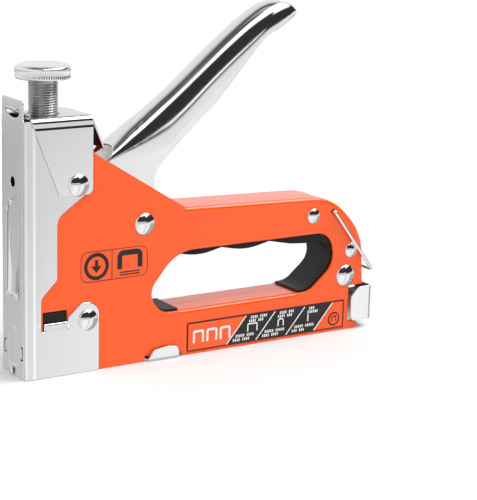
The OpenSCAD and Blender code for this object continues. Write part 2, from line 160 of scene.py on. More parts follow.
def spline(points, per_span):
    """Catmull-Rom points through a list of vectors."""
    out = []
    last = len(points) - 1
    for i in range(last):
        p0, p1, p2, p3 = points[max(0, i - 1)], points[i], points[i + 1], points[min(last, i + 2)]
        for k in range(per_span):
            t = k / per_span
            out.append(0.5 * (2 * p1 + (p2 - p0) * t + (2 * p0 - 5 * p1 + 4 * p2 - p3) * t * t
                              + (3 * p1 - p0 - 3 * p2 + p3) * t ** 3))
    out.append(points[last].copy())
    return out


# ---- mesh helpers
def add_object(name, data):
    obj = bpy.data.objects.new(name, data)
    bpy.context.scene.collection.objects.link(obj)
    return obj


def finish_mesh(name, bm, sharp=35):
    """Turns a bmesh in millimetres into an object in metres; edges past the angle stay sharp."""
    bmesh.ops.remove_doubles(bm, verts=bm.verts, dist=1e-5)
    bmesh.ops.dissolve_degenerate(bm, edges=bm.edges, dist=1e-5)
    bmesh.ops.recalc_face_normals(bm, faces=bm.faces)
    mesh = bpy.data.meshes.new(name)
    bm.to_mesh(mesh)
    bm.free()
    mesh.transform(Matrix.Scale(MM, 4))
    mesh.shade_smooth()
    mesh.set_sharp_from_angle(angle=math.radians(sharp))
    obj = add_object(name, mesh)
    weighted = obj.modifiers.new("weighted_normals", "WEIGHTED_NORMAL")
    weighted.keep_sharp = True
    return obj


def ring_strip(bm, rings, closed=True):
    """Quads between neighbouring rings of equal length."""
    for a, b in zip(rings, rings[1:]):
        count = len(a)
        for i in range(count if closed else count - 1):
            j = (i + 1) % count
            bm.faces.new((a[i], a[j], b[j], b[i]))


def inside(x, y, loops):
    """Whether (x, y) lies within an odd number of the loops."""
    odd = False
    for loop in loops:
        for a, b in zip(loop, loop[1:] + loop[:1]):
            if (a.y > y) != (b.y > y) and x < a.x + (y - a.y) * (b.x - a.x) / (b.y - a.y):
                odd = not odd
    return odd


def fill(bm, loops):
    """Triangles over the region inside the first loop and outside the others."""
    whole_hull = 0
    outlines = [[v.co.xy for v in loop] for loop in loops]
    verts = [v for loop in loops for v in loop]
    edges = []
    start = 0
    for loop in loops:
        edges += [(start + i, start + (i + 1) % len(loop)) for i in range(len(loop))]
        start += len(loop)
    result = delaunay_2d_cdt([v.co.xy for v in verts], edges, [], whole_hull, 1e-5)
    made = [verts[origin[0]] if origin else bm.verts.new((*co, verts[0].co.z))
            for co, origin in zip(result[0], result[3])]
    for face in result[2]:
        corners = [made[i] for i in face]
        middle = sum((v.co.xy for v in corners), Vector((0, 0))) / 3
        if inside(middle.x, middle.y, outlines) and not bm.faces.get(corners):
            bm.faces.new(corners)


def quarter(cx, cy, r, start, end, steps):
    """Points (inward distance, depth) on an arc, angles in degrees from the inward axis."""
    return [(cx + r * math.cos(math.radians(start + (end - start) * k / steps)),
             cy + r * math.sin(math.radians(start + (end - start) * k / steps))) for k in range(steps + 1)]


ARC = 4


def edge_profile(thickness, bevel):
    """A cut edge of a sheet, both corners broken. It has as many points as rim_profile."""
    return (quarter(bevel, bevel, bevel, 270, 180, ARC) + [(0, thickness / 2)] * 2
            + quarter(bevel, thickness - bevel, bevel, 180, 90, ARC))


def rim_profile(thickness, radius, width):
    """A sheet bent inwards over a radius into a rim that is width deep."""
    lip = 0.12
    return (quarter(radius, radius, radius, 270, 180, ARC) + [(0, width - lip), (lip, width)]
            + [(thickness - lip, width), (thickness, width - lip)]
            + quarter(radius, radius, max(0.05, radius - thickness), 180, 270, ARC - 2))


def sheet(loops, thickness, panels=()):
    """A flat sheet in (u, v) with depth w, outer face at w = 0.
    loops: (points, profile function of point), the first is the outline and the rest are holes.
    panels: (points, profile, weight function), raised or sunk areas on the outer face."""
    bm = bmesh.new()
    outer_loops = []
    inner_loops = []
    for number, (points, profile_of) in enumerate(loops):
        points = points if number == 0 else points[::-1]
        normals = left_normals(points)
        profiles = [profile_of(p) for p in points]
        rings = [[bm.verts.new((p.x + n.x * prof[k][0], p.y + n.y * prof[k][0], prof[k][1]))
                  for p, n, prof in zip(points, normals, profiles)] for k in range(len(profiles[0]))]
        ring_strip(bm, rings)
        outer_loops.append(rings[0])
        inner_loops.append(rings[-1])
    for points, profile, weight in panels:
        normals = left_normals(points)
        rings = [[bm.verts.new((p.x + n.x * d, p.y + n.y * d, w * weight(p)))
                  for p, n in zip(points, normals)] for d, w in profile]
        ring_strip(bm, rings)
        fill(bm, [rings[-1]])
        outer_loops.append(rings[0])
    fill(bm, outer_loops)
    fill(bm, inner_loops)
    return bm


def map_verts(bm, place):
    for v in bm.verts:
        v.co = place(v.co)


def cut_lines(bm, axis, values):
    """Adds edges where the mesh crosses the planes axis = value."""
    for value in values:
        at = Vector((0, 0, 0))
        at[axis] = value
        normal = Vector((0, 0, 0))
        normal[axis] = 1
        bmesh.ops.bisect_plane(bm, geom=bm.verts[:] + bm.edges[:] + bm.faces[:], dist=1e-4,
                               plane_co=at, plane_no=normal)


def side_place(side, half):
    """Puts a sheet in the X-Z plane, its outer face at y = side * half."""
    return lambda co: Vector((co.x, side * (half - co.z), co.y))


def revolve(profile, segments, radius_of=None):
    """A closed solid of revolution about the local Z axis; the profile runs from axis to axis."""
    bm = bmesh.new()
    rings = []
    for r, z in profile:
        if r < 1e-6:
            rings.append([bm.verts.new((0, 0, z))])
            continue
        ring = []
        for k in range(segments):
            angle = TAU * k / segments
            rr = radius_of(r, z, angle) if radius_of else r
            ring.append(bm.verts.new((rr * math.cos(angle), rr * math.sin(angle), z)))
        rings.append(ring)
    for a, b in zip(rings, rings[1:]):
        if len(a) == 1 and len(b) == 1:
            continue
        for i in range(segments):
            j = (i + 1) % segments
            if len(a) == 1:
                bm.faces.new((a[0], b[j], b[i]))
            elif len(b) == 1:
                bm.faces.new((a[i], a[j], b[0]))
            else:
                bm.faces.new((a[i], a[j], b[j], b[i]))
    return bm


def tube(path, radius, sides=12):
    """A wire with rounded ends along a list of points."""
    bm = bmesh.new()
    last = len(path) - 1
    rings = []
    side = None
    turns = [TAU * k / sides for k in range(sides)]
    for i, p in enumerate(path):
        t = (path[min(last, i + 1)] - path[max(0, i - 1)]).normalized()
        if side is None:
            side = t.orthogonal().normalized()
        side = (side - t * side.dot(t)).normalized()
        up = t.cross(side)
        rings.append([bm.verts.new(p + radius * (side * math.cos(a) + up * math.sin(a))) for a in turns])
    ring_strip(bm, rings)
    for ring, p, other in ((rings[0], path[0], path[1]), (rings[-1], path[-1], path[-2])):
        out = (p - other).normalized()
        mid = [bm.verts.new(p + (v.co - p) * 0.7 + out * radius * 0.5) for v in ring]
        ring_strip(bm, [ring, mid])
        tip = bm.verts.new(p + out * radius * 0.7)
        for i in range(sides):
            bm.faces.new((mid[i], mid[(i + 1) % sides], tip))
    return bm


def join(*parts):
    """One bmesh holding all the given ones."""
    whole = parts[0]
    for part in parts[1:]:
        scratch = bpy.data.meshes.new("scratch")
        part.to_mesh(scratch)
        part.free()
        whole.from_mesh(scratch)
        bpy.data.meshes.remove(scratch)
    return whole


# ---- materials
def new_material(name):
    material = bpy.data.materials.new(name)
    material.use_nodes = True
    tree = material.node_tree
    return material, tree.nodes, tree.links, tree.nodes["Principled BSDF"]


def noise(nodes, links, scale, detail=3, stretch=(1, 1, 1)):
    coords = nodes.new("ShaderNodeTexCoord")
    mapping = nodes.new("ShaderNodeMapping")
    mapping.inputs["Scale"].default_value = stretch
    texture = nodes.new("ShaderNodeTexNoise")
    texture.inputs["Scale"].default_value = scale
    texture.inputs["Detail"].default_value = detail
    links.new(coords.outputs["Object"], mapping.inputs["Vector"])
    links.new(mapping.outputs["Vector"], texture.inputs["Vector"])
    return texture.outputs["Fac"]


def ramp(nodes, links, value, low, high):
    """Colours or greys between low and high as value goes from 0.3 to 0.7."""
    node = nodes.new("ShaderNodeValToRGB")
    node.color_ramp.elements[0].position = 0.3
    node.color_ramp.elements[0].color = (*low, 1)
    node.color_ramp.elements[1].position = 0.7
    node.color_ramp.elements[1].color = (*high, 1)
    links.new(value, node.inputs["Fac"])
    return node.outputs["Color"]


def grey(value):
    return (value, value, value)


def add_bump(nodes, links, shader, height, strength, distance=0.0002):
    bump = nodes.new("ShaderNodeBump")
    bump.inputs["Strength"].default_value = strength
    bump.inputs["Distance"].default_value = distance
    links.new(height, bump.inputs["Height"])
    links.new(bump.outputs["Normal"], shader.inputs["Normal"])


def vary(nodes, links, shader, broad, low, high, fine, rough_low, rough_high):
    """The colour follows one noise and the roughness another."""
    links.new(ramp(nodes, links, broad, low, high), shader.inputs["Base Color"])
    links.new(ramp(nodes, links, fine, grey(rough_low), grey(rough_high)), shader.inputs["Roughness"])


def metal(name, low, high, rough_low, rough_high, grain, stretch=(1, 1, 1), bump=0.02):
    """Bare or plated metal: its tint and gloss vary with a fine grain."""
    material, nodes, links, shader = new_material(name)
    shader.inputs["Metallic"].default_value = 1.0
    fine = noise(nodes, links, grain, 4, stretch)
    broad = noise(nodes, links, grain / 14, 3)
    vary(nodes, links, shader, broad, low, high, fine, rough_low, rough_high)
    add_bump(nodes, links, shader, fine, bump)
    return material


def paint_shade_by_height(material, low_z, high_z, top_share):
    """Paints shade into a material's base colour: it darkens steadily between two heights, so the plating
    looks dimmer higher up.
    """
    nodes, links = material.node_tree.nodes, material.node_tree.links
    socket = nodes["Principled BSDF"].inputs["Base Color"]
    coords = nodes.new("ShaderNodeTexCoord")
    split = nodes.new("ShaderNodeSeparateXYZ")
    fade = nodes.new("ShaderNodeMapRange")
    span = {"From Min": low_z * MM, "From Max": high_z * MM, "To Min": 1, "To Max": top_share}
    for name, value in span.items():
        fade.inputs[name].default_value = value
    times = nodes.new("ShaderNodeVectorMath")
    times.operation = "SCALE"
    links.new(coords.outputs["Object"], split.inputs["Vector"])
    links.new(split.outputs["Z"], fade.inputs["Value"])
    links.new(socket.links[0].from_socket, times.inputs[0])
    links.new(fade.outputs["Result"], times.inputs["Scale"])
    links.new(times.outputs["Vector"], socket)
    return material


def paint(name, low, high, rough_low, rough_high, coat):
    """Sprayed gloss paint with a faint orange-peel surface."""
    material, nodes, links, shader = new_material(name)
    broad = noise(nodes, links, 35, 3)
    peel = noise(nodes, links, 900, 2)
    vary(nodes, links, shader, broad, low, high, peel, rough_low, rough_high)
    shader.inputs["Specular IOR Level"].default_value = 0.3
    shader.inputs["Coat Weight"].default_value = coat
    shader.inputs["Coat Roughness"].default_value = 0.06
    add_bump(nodes, links, shader, peel, 0.05, 0.0001)
    return material


def plastic(name, low, high, rough_low, rough_high, grain, bump):
    """Moulded plastic or rubber with a fine spark-eroded texture."""
    material, nodes, links, shader = new_material(name)
    fine = noise(nodes, links, grain, 5)
    broad = noise(nodes, links, 60, 2)
    vary(nodes, links, shader, broad, low, high, fine, rough_low, rough_high)
    shader.inputs["Specular IOR Level"].default_value = 0.25
    add_bump(nodes, links, shader, fine, bump)
    return material


def chrome(name, level):
    """Bright plating; level is its darker grey, with a trace of blue."""
    return metal(name, (level, level, level + 0.005), (level + 0.03, level + 0.03, level + 0.035), 0.07, 0.12,
                 300, bump=0.006)


ORANGE = paint("orange_paint", (0.93, 0.092, 0.001), (0.97, 0.1, 0.002), 0.18, 0.26, 0.6)
CHROME = chrome("chrome_plate", 0.85)
# Painted shade: the nose and the bracket grow darker towards their tops, standing in for the dimmer
# reflections up there.
NOSE_CHROME_SHADED = paint_shade_by_height(chrome("nose_chrome_painted_shade", 0.87), 15, 95, 0.84)
CAP_CHROME_SHADED = paint_shade_by_height(chrome("cap_chrome_painted_shade", 0.85), 70, 100, 0.86)
# Painted shade: a near-black copy of the plating for the inner face of the bracket's rear flap, which lies in
# shadow under the cap.
CAP_INSIDE_SHADE = metal("cap_inside_painted_shade", (0.10, 0.10, 0.10), (0.14, 0.14, 0.14), 0.4, 0.5, 300)
THREAD = metal("thread_steel", (0.40, 0.40, 0.40), (0.52, 0.52, 0.52), 0.24, 0.34, 500, bump=0.01)
ZINC = metal("zinc_steel", (0.50, 0.51, 0.53), (0.62, 0.63, 0.65), 0.28, 0.42, 900, (1, 1, 0.2), 0.05)
SPRING = metal("spring_steel", (0.38, 0.39, 0.42), (0.50, 0.51, 0.54), 0.22, 0.34, 1200)
BLACK = plastic("black_plastic", (0.008, 0.007, 0.007), (0.015, 0.013, 0.012), 0.38, 0.52, 1500, 0.18)
RUBBER = plastic("black_rubber", (0.012, 0.012, 0.012), (0.02, 0.02, 0.02), 0.6, 0.75, 900, 0.3)
PRINT_BLACK = plastic("print_black", (0.018, 0.018, 0.019), (0.026, 0.026, 0.027), 0.28, 0.36, 1200, 0.04)
PRINT_WHITE = plastic("print_white", (0.80, 0.80, 0.80), (0.88, 0.88, 0.88), 0.30, 0.38, 1200, 0.04)


def dress(obj, material, body, slot, *nodes):
    obj.data.materials.append(material)
    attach(obj, body)
    if nodes:
        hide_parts(*nodes)
    return obj


# ---- shells
def swell_rise(x):
    """How far the raised area ahead of the window stands out; it fades towards the rear."""
    height, fade_start, fade_length = 0.25, 30, 22
    return height * (1 - smoothstep((x - fade_start) / fade_length))


def shell(side, name, node):
    cut = edge_profile(SHELL_T, 0.22)
    soft = edge_profile(SHELL_T, 0.55)
    rim = rim_profile(SHELL_T, 1.7, SHELL_HALF - 0.05)

    def outline_profile(p):
        on_handle = p.x > 73.2 and p.y > 45 or p.x > 158.5 and p.y > SILL_Z + 1.2
        return rim if on_handle else cut

    def window_profile(p):
        return rim if p.y < SILL_Z + 0.02 and 71.3 < p.x < 130.7 else soft

    outline = rounded(BODY)
    slot_hole = rounded([(8.2, 19.5, 0.3), (18.9, 19.5, 0.3), (18.9, 27, 0.5), (8.2, 27, 0.5)])
    gap = 0.5
    recess = rectangle(LABEL_LOW.x - gap, LABEL_LOW.z - gap, LABEL_HIGH.x + gap, LABEL_HIGH.z + gap, 0.6)
    swell = rounded([(20.4, 31.5, 5), (56, 30, 4), (56, 64, 4), (33.5, 77.5, 4), (20.4, 67.5, 6)])
    slope = [(0, 0), (0.4, -0.06), (1, -0.3), (1.6, -0.68), (2.2, -0.93), (2.8, -1)]
    panels = [(recess, [(0, 0), (0.12, 0.05), (0.2, 0.4)], lambda p: 1),
              (swell, slope, lambda p: swell_rise(p.x))]
    loops = [(outline, outline_profile), (rounded(WINDOW), window_profile),
             (slot_hole, lambda p: cut), (circle(WIRE_EYE.x, WIRE_EYE.y, 1.1), lambda p: cut)]
    bm = sheet(loops, SHELL_T, panels)
    map_verts(bm, side_place(side, SHELL_HALF))
    dress(finish_mesh(name, bm), ORANGE, "frame", "orange_paint", node)


shell(-1, "shell_left", "left_shell")
shell(1, "shell_right", "right_shell")


# ---- nose channel
NOSE_BEND = 1.3
NOSE_STEP = 0.3
FRONT_FLAT = NOSE_HALF - NOSE_STEP - 0.12 - NOSE_BEND
SIDE_START = FRONT_FLAT + NOSE_BEND * math.pi / 2


def nose_fold(co):
    """Folds the unrolled nose: s across the front and round to the sides, z up, w the depth."""
    s, z, w = co
    side = -1 if s < 0 else 1
    s = abs(s)
    if s <= FRONT_FLAT:
        return Vector((w, side * s, z))
    if s <= SIDE_START:
        angle = (s - FRONT_FLAT) / NOSE_BEND
        r = NOSE_BEND - w
        return Vector((NOSE_BEND - r * math.cos(angle), side * (FRONT_FLAT + r * math.sin(angle)), z))
    x = NOSE_BEND + s - SIDE_START
    half = NOSE_HALF - NOSE_STEP * (1 - smoothstep((x - 3.6) / 1.4)) - 0.05 * max(0, 3.6 - x)
    # The tab under the slot steps in and its top edge curls inwards
    tab = smoothstep((x - 8.2) / 0.5) * smoothstep((19.2 - x) / 0.6) if z < 22.5 else 0
    curl = 0.22 * smoothstep((z - 19.4) / 0.5) + 0.2 * max(0, (z - 21.3)) ** 2
    return Vector((x, side * (half - w - curl * tab), z))


def along(x):
    """The unrolled coordinate of a point x behind the front face on a side plate."""
    return x - NOSE_BEND + SIDE_START


def nose_channel():
    cut = edge_profile(NOSE_T, 0.28)
    right = [(along(x), z, r) for x, z, r in NOSE_SIDE]
    top = NOSE_H - 0.05
    shoulder = 9.3
    right += [(shoulder + 0.6, 104, 0.5), (shoulder, 104.6, 0.3), (shoulder, top, 1.5)]
    left = [(-s, z, r) for s, z, r in reversed(right)]
    notch = [(-1.5, FOOT_Z, 0), (-1.5, 3.3, 0.5), (2.1, 3.3, 0.5), (2.1, FOOT_Z, 0)]
    outline = rounded(left + notch + right)
    moon = [Vector((6.3 * math.cos(TAU * k / 40), 106.9 + (2.5 if math.sin(TAU * k / 40) < 0 else 0.25)
                    * math.sin(TAU * k / 40))) for k in range(40)]
    hooks = []
    for side in (-1, 1):
        c = [(6.6, 13.4, 0.2), (8.7, 13.4, 0.9), (8.7, 7.6, 0.9), (6.4, 7.6, 0.2), (6.4, 8.3, 0.2),
             (8.0, 8.3, 0.4), (8.0, 12.7, 0.4), (6.6, 12.7, 0.2)]
        c = [(side * s, z, r) for s, z, r in c]
        hooks.append(rounded(c[::-1] if side > 0 else c))
    reach = 4.9
    groove = rounded([(-5.9, 29, reach), (5.9, 29, reach), (5.9, 68.3, reach), (0, 74.6, reach),
                      (-5.9, 68.3, reach)])
    depth = 1.7
    groove_profile = [(0, 0), (0.12, 0.06)]
    groove_profile += [(reach * t, 0.06 + depth * math.sin(math.pi / 2 * t) ** 0.8)
                       for t in (0.06, 0.12, 0.2, 0.28, 0.37, 0.46, 0.56, 0.67, 0.8, 0.95)]
    tongue = rounded([(-3.3, 4.4, 0.7), (3.3, 4.4, 0.7), (3.3, 20.6, 3.1), (-3.3, 20.6, 3.1)])
    panels = [(groove, groove_profile, lambda p: smoothstep((p.y - 29) / 16)),
              (tongue, [(0, 0), (0.1, 0.12), (0.22, 0.16), (0.34, 0.12), (0.42, 0.08)], lambda p: 1)]
    loops = [(outline, lambda p: cut), (circle(0, 79, 2.1), lambda p: cut), (moon, lambda p: cut)]
    fine_cut = edge_profile(NOSE_T, 0.1)
    loops += [(hook, lambda p: fine_cut) for hook in hooks]
    bm = sheet(loops, NOSE_T, panels)
    steps = 8
    folds = [FRONT_FLAT + (SIDE_START - FRONT_FLAT) * k / steps for k in range(steps + 1)]
    folds += [along(3.6 + 1.4 * k / 6) for k in range(7)]
    cut_lines(bm, 0, [s for f in folds for s in (f, -f)])
    cut_lines(bm, 0, [side * along(x) for x in (8.2, 8.5, 8.7, 18.6, 18.9, 19.2) for side in (-1, 1)])
    cut_lines(bm, 1, [19.4 + 0.1 * k for k in range(6)] + [21.3 + 0.15 * k for k in range(7)] + [22.5])
    map_verts(bm, nose_fold)
    dress(finish_mesh("nose", bm), NOSE_CHROME_SHADED, "frame", "chrome_plate", "nose_channel")


nose_channel()


# ---- force knob and screw
def knob():
    ridges = 72
    low, high = knob_low.z, knob_high.z
    edge, bevel = 0.9, 1.9

    def knurl(r, z, angle):
        along_side = (z - low - edge * 0.8) / (high - bevel - low - edge * 0.8)
        bite = 0.6 * math.sin(math.pi * max(0, min(1, along_side))) ** 0.8
        return r - bite * (0.5 - 0.5 * math.cos(ridges * angle)) if r > KNOB_R - edge else r

    profile = [(0, low), (6.4, low), (KNOB_R - edge * 1.3, low), (KNOB_R - edge * 0.5, low + 0.18),
               (KNOB_R - 0.12, low + 0.6)]
    first, last, rows = low + edge, high - bevel, 10
    profile += [(KNOB_R, first + (last - first) * k / rows) for k in range(rows + 1)]
    profile += [(KNOB_R - 0.12, high - 1.45), (KNOB_R - 0.4, high - 1.0), (KNOB_R - 0.9, high - 0.65),
                (KNOB_R - 1.8, high - 0.38), (KNOB_R - 3.4, high - 0.2), (5, high - 0.05), (0, high)]
    bm = revolve(profile, ridges * 5, knurl)
    map_verts(bm, lambda co: Vector((SCREW_X + co.x, co.y, co.z)))
    dress(finish_mesh("knob", bm, 50), CHROME, "force_adjuster", "chrome_plate", "force_knob")


def screw():
    pitch = 1.0
    depth = 0.55
    samples = 8

    def thread(r, z, angle):
        phase = ((z - screw_low.z) / pitch - angle / TAU) % 1.0
        return r - depth * (abs(phase - 0.5) * 2) ** 1.2

    count = int((screw_high.z - screw_low.z - 1.0) / pitch) * samples
    rows = [screw_low.z + 0.6 + k * pitch / samples for k in range(count)]
    profile = [(0, screw_low.z), (THREAD_R - 0.9, screw_low.z)] + [(THREAD_R, z) for z in rows]
    profile += [(THREAD_R - 0.8, screw_high.z), (0, screw_high.z)]
    bm = revolve(profile, 96, lambda r, z, a: thread(r, z, a) if r == THREAD_R else r)
    map_verts(bm, lambda co: Vector((SCREW_X + co.x, co.y, co.z)))
    dress(finish_mesh("screw", bm, 80), THREAD, "force_adjuster", "zinc_steel", "force_screw")


knob()
screw()


# ---- handle lever
# Stations from the front to the tip: the ridge line, the fold line and the lower edge, and the half width
LEVER_STATIONS = [
    ((41.8, 91.0), (37.9, 84.8), (46.4, 57.0), 8.4),
    ((45.6, 94.0), (42.0, 85.6), (47.5, 53.2), 8.4),
    ((48.4, 96.1), (45.0, 86.2), (51.0, 50.4), 8.4),
    ((50.4, 97.5), (47.0, 86.4), (57.4, 50.6), 8.4),
    ((52.0, 98.6), (48.8, 86.6), (61.8, 54.2), 8.4),
    ((53.4, 99.6), (50.4, 86.9), (62.2, 58.5), 8.4),
    ((54.6, 100.4), (51.6, 87.0), (61.5, 63.0), 8.4),
    ((55.8, 101.2), (52.8, 87.1), (60.1, 68.0), 8.4),
    ((57.6, 102.5), (54.6, 87.3), (59.1, 74.0), 8.4),
    ((61.2, 105.1), (58.6, 87.9), (60.4, 79.8), 8.4),
    ((67.0, 109.4), (64.6, 89.6), (63.8, 84.4), 8.4),
    ((73.4, 114.5), (70.6, 94.3), (68.6, 89.0), 8.4),
    ((79.5, 119.6), (76.4, 99.9), (73.4, 93.5), 8.4),
    ((86.0, 125.0), (83.2, 106.7), (79.4, 98.6), 8.4),
    ((94.5, 131.8), (92.0, 114.6), (88.0, 106.0), 8.4),
    ((104.5, 139.2), (102.5, 123.6), (101.0, 120.4), 8.4),
    ((113.0, 144.2), (111.3, 131.7), (110.6, 130.6), 8.4),
    ((120.0, 145.8), (118.6, 135.4), (118.2, 134.8), 7.9),
    ((126.5, 144.6), (125.0, 138.3), (124.8, 137.9), 6.0),
    ((130.2, 142.3), (129.4, 139.9), (129.3, 139.7), 3.2),
]


def lever_surface():
    columns = [[Vector((*top, half)) for top, _, _, half in LEVER_STATIONS],
               [Vector((*fold, half)) for _, fold, _, half in LEVER_STATIONS],
               [Vector((*low, half)) for _, _, low, half in LEVER_STATIONS]]
    tops, folds, lows = (spline(column, 6) for column in columns)
    cheek_steps = 8
    arch_steps = 12
    bm = bmesh.new()
    rings = []
    for top, fold, low in zip(tops, folds, lows):
        half = min(LEVER_HALF, top.z)
        near = []
        for k in range(cheek_steps):
            p = low.lerp(fold, k / cheek_steps)
            near.append((p.x, p.y, half))
        for k in range(arch_steps + 1):
            a = math.pi / 2 * k / arch_steps
            p = fold.xy.lerp(top.xy, math.sin(a) ** 0.92)
            near.append((p.x, p.y, half * math.cos(a) ** 0.66 if k < arch_steps else 0))
        ring = [bm.verts.new((x, -y, z)) for x, z, y in near]
        ring += [bm.verts.new((x, y, z)) for x, z, y in reversed(near[:-1])]
        rings.append(ring)
    ring_strip(bm, rings, closed=False)
    # The tip closes over the last ring
    tip = bm.verts.new((131.3, 0, 141.2))
    last = rings[-1]
    for i in range(len(last) - 1):
        bm.faces.new((last[i], last[i + 1], tip))
    return bm


def thicken(bm, thickness, lip=0.3):
    """Gives an open surface a second skin on its inner side, with a rounded edge between them."""
    bmesh.ops.recalc_face_normals(bm, faces=bm.faces)
    top = max(bm.faces, key=lambda f: f.calc_center_median().z)
    if top.normal.z < 0:
        bmesh.ops.reverse_faces(bm, faces=bm.faces)
    bm.normal_update()
    faces = bm.faces[:]
    rims = [e for e in bm.edges if e.is_boundary]
    inner = {v: bm.verts.new(v.co - v.normal * thickness) for v in bm.verts[:]}
    outward = {}
    for e in rims:
        face = e.link_faces[0]
        away = (e.verts[0].co + e.verts[1].co) / 2 - face.calc_center_median()
        along_edge = (e.verts[1].co - e.verts[0].co).normalized()
        away -= along_edge * away.dot(along_edge)
        for v in e.verts:
            outward[v] = outward.get(v, Vector((0, 0, 0))) + away.normalized()
    edge = {v: [bm.verts.new(v.co.lerp(inner[v].co, t) + out.normalized() * lip * math.sin(math.pi * t))
                for t in (0.12, 0.3, 0.5, 0.7, 0.88)] for v, out in outward.items()}
    for face in faces:
        bm.faces.new([inner[v] for v in reversed(face.verts)])
    for e in rims:
        a, b = e.verts
        chain_a = [a] + edge[a] + [inner[a]]
        chain_b = [b] + edge[b] + [inner[b]]
        for k in range(len(chain_a) - 1):
            bm.faces.new((chain_a[k], chain_b[k], chain_b[k + 1], chain_a[k + 1]))


def lever():
    bm = lever_surface()
    bmesh.ops.remove_doubles(bm, verts=bm.verts, dist=1e-5)
    thicken(bm, 1.4)
    dress(finish_mesh("lever", bm, 60), CHROME, "lever", "chrome_plate", "handle_lever")


lever()


# ---- folded sheets
def fold(bm, path, place):
    """Lays a flat sheet along a path: u runs along the path, v across it, w down from its left side.
    place(point on the path, v) gives the spot in the shared frame."""
    normals = []
    for k, p in enumerate(path):
        into = (p - path[max(0, k - 1)]).normalized() if k else None
        out = (path[k + 1] - p).normalized() if k < len(path) - 1 else into
        into = into or out
        left = (Vector((-into.y, into.x)) + Vector((-out.y, out.x))).normalized()
        normals.append(left / left.dot(Vector((-out.y, out.x))))
    stops = [0.0]
    for a, b in zip(path, path[1:]):
        stops.append(stops[-1] + (b - a).length)
    cut_lines(bm, 0, stops[1:-1])
    for v in bm.verts:
        k = 0
        while k < len(stops) - 2 and v.co.x > stops[k + 1]:
            k += 1
        t = (v.co.x - stops[k]) / (stops[k + 1] - stops[k])
        p = path[k].lerp(path[k + 1], t) - normals[k].lerp(normals[k + 1], t) * v.co.z
        v.co = place(p, v.co.y)


def open_path(corners, step=math.radians(7.5)):
    """Points along an open run of (x, z, radius) corners; the first and last have no radius."""
    ends = [Vector(corners[0][:2]), Vector(corners[-1][:2])]
    inner = rounded(corners, step)
    first = min(range(len(inner)), key=lambda k: (inner[k] - ends[0]).length)
    inner = inner[first:] + inner[:first]
    last = min(range(len(inner)), key=lambda k: (inner[k] - ends[1]).length)
    return inner[:last + 1]


def path_length(path):
    return sum((b - a).length for a, b in zip(path, path[1:]))


def plain_sheet(outline, thickness, bevel, holes=()):
    cut = edge_profile(thickness, bevel)
    return sheet([(loop, lambda p: cut) for loop in (outline, *holes)], thickness)


# ---- top bracket
CAP_BEND = 2.4
CAP_STEP = 0.25
CAP_STEP_Z = 100.3
CAP_STEP_H = 1.15
CAP_FLAT = BRACKET_HALF - CAP_STEP - CAP_BEND
CAP_SIDE = CAP_FLAT + CAP_BEND * math.pi / 2
FLAP_X = 28.0
FLAP_BEND = 1.5
FLAP_DROP = math.radians(66.4)
FLAP_HALF = 11.4
FLAP_NECK = CAP_FLAT - 0.1
CAP_T = 0.85


def cap_place(co):
    """Folds the unrolled bracket: x backwards, s across the top and down the flanges, w the depth."""
    x, s, w = co
    side = -1 if s < 0 else 1
    s = abs(s)
    if x > FLAP_X and (s < FLAP_NECK + 0.01 or x > 29.9):
        along_flap = x - FLAP_X
        angle = min(FLAP_DROP, along_flap / FLAP_BEND)
        rest = max(0, along_flap - FLAP_BEND * FLAP_DROP)
        r = FLAP_BEND - w
        return Vector((FLAP_X + r * math.sin(angle) + rest * math.cos(angle), side * s,
                       BRACKET_Z - FLAP_BEND + r * math.cos(angle) - rest * math.sin(angle)))
    if s <= CAP_FLAT:
        return Vector((x, side * s, BRACKET_Z - w))
    if s <= CAP_SIDE:
        angle = (s - CAP_FLAT) / CAP_BEND
        r = CAP_BEND - w
        height = BRACKET_Z - CAP_BEND + r * math.cos(angle)
        return Vector((x, side * (CAP_FLAT + r * math.sin(angle)), height))
    z = BRACKET_Z - CAP_BEND - (s - CAP_SIDE)
    step = CAP_STEP * smoothstep((z - CAP_STEP_Z) / CAP_STEP_H)
    return Vector((x, side * (BRACKET_HALF - step - w), z))


def bracket_hook():
    """The lip that rises in front of the cap."""
    half = 5.5
    path = open_path([(5.2, 105.1, 0), (3.6, 105.2, 1), (1.2, 107, 1), (-0.7, 107, 0.9), (-0.7, 108.4, 0)])
    run = path_length(path)
    bm = plain_sheet(rounded([(0, half, 0), (0, -half, 0), (run, -half, 1.2), (run, half, 1.2)]), 0.8, 0.2)
    fold(bm, path, lambda p, v: Vector((p.x, v, p.y)))
    return bm


